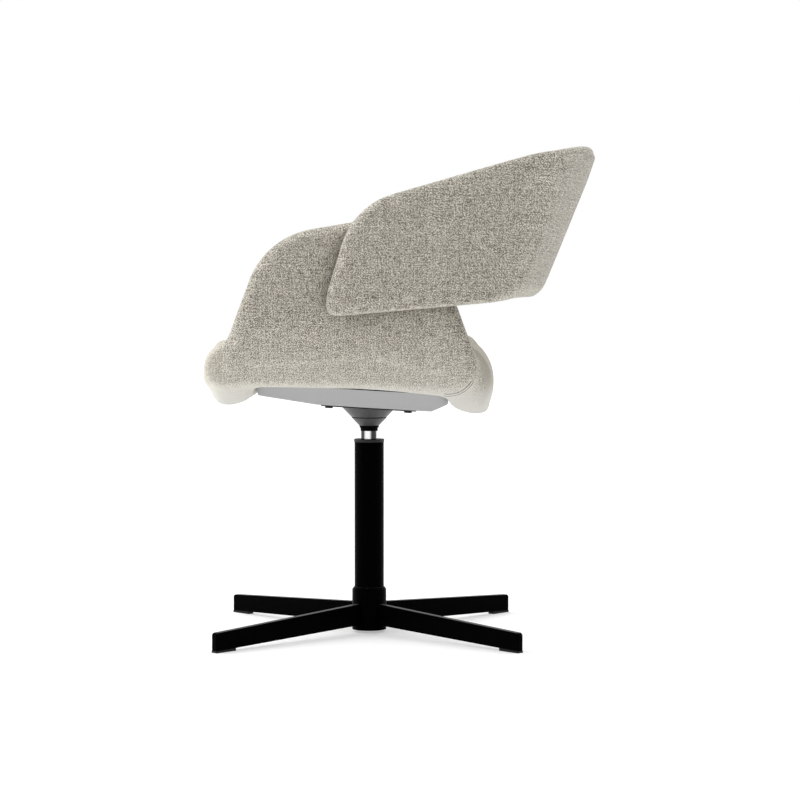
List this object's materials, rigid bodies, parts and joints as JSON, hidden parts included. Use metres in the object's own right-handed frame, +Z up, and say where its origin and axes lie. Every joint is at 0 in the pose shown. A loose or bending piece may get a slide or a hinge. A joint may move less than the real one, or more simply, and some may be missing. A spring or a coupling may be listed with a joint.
{
  "type": "swivel dining chair",
  "caption": "Upholstered swivel armchair: padded bucket seat with side wings, wrap-round reclined back, slim column and flat-bar cross base.",
  "frame": {"origin": "on the floor, where the swivel axis meets it", "axes": "+Z up along the swivel axis, -Y the way the sitter faces, +X the sitter's left"},
  "size_m": [0.6274, 0.6636, 0.8259],
  "materials": {
    "satin_black": "satin black powder coat",
    "black_plastic": "matt moulded plastic",
    "pale_plastic": "natural moulded plastic",
    "plain_steel": "plain steel",
    "polished_steel": "polished",
    "black_rubber": "matt rubber",
    "dark_grey_metal": "satin dark grey coat",
    "grey_metal": "satin grey coat",
    "plywood": "raw moulded plywood",
    "melange_fabric": "woven beige grey melange over foam"
  },
  "bodies": {
    "base": {"base_hub": "satin_black", "column_tube": "satin_black", "column_collar": "black_plastic", "guide_bush": "pale_plastic", "end_plate": "plain_steel", "lower_race": "plain_steel", "leg_front_left": "satin_black", "leg_front_right": "satin_black", "leg_rear_left": "satin_black", "leg_rear_right": "satin_black", "glide_front_left": "black_plastic", "glide_front_right": "black_plastic", "glide_rear_left": "black_plastic", "glide_rear_right": "black_plastic"},
    "bearing_cage": {"ball_cage": "pale_plastic", "bearing_balls": "plain_steel"},
    "seat": {"mounting_plate": "satin_black", "upper_race": "plain_steel", "retaining_clip": "plain_steel", "plate_bolts": "plain_steel", "spacer_tubes": "plain_steel", "t_nuts": "plain_steel", "arm_bracket_left": "plain_steel", "arm_bracket_right": "plain_steel", "bracket_screws": "plain_steel", "back_bolts": "plain_steel", "back_nuts": "plain_steel", "swivel_rod": "polished_steel", "buffer_ring": "black_rubber", "dust_seal": "black_rubber", "seal_cap": "black_rubber", "pan_gasket": "black_rubber", "socket_cone": "dark_grey_metal", "flange_cone": "dark_grey_metal", "seat_pan": "grey_metal", "seat_board": "plywood", "arm_core_left": "plywood", "arm_core_right": "plywood", "back_core": "plywood", "seat_pad": "melange_fabric", "underside_pad": "melange_fabric", "arm_pad_left": "melange_fabric", "arm_pad_right": "melange_fabric", "back_pad": "melange_fabric"}
  },
  "joints": [
    {"name": "seat_swivel", "type": "hinge", "parent": "base", "child": "seat", "pos_m": [0, 0, 0.35], "axis": [0, 0, 1], "continuous": true},
    {"name": "cage_spin", "type": "hinge", "parent": "base", "child": "bearing_cage", "pos_m": [0, 0, 0.02], "axis": [0, 0, 1], "continuous": true}
  ],
  "couplings": [
    {"joint": "cage_spin", "follows": "seat_swivel", "ratio": 0.5}
  ]
}
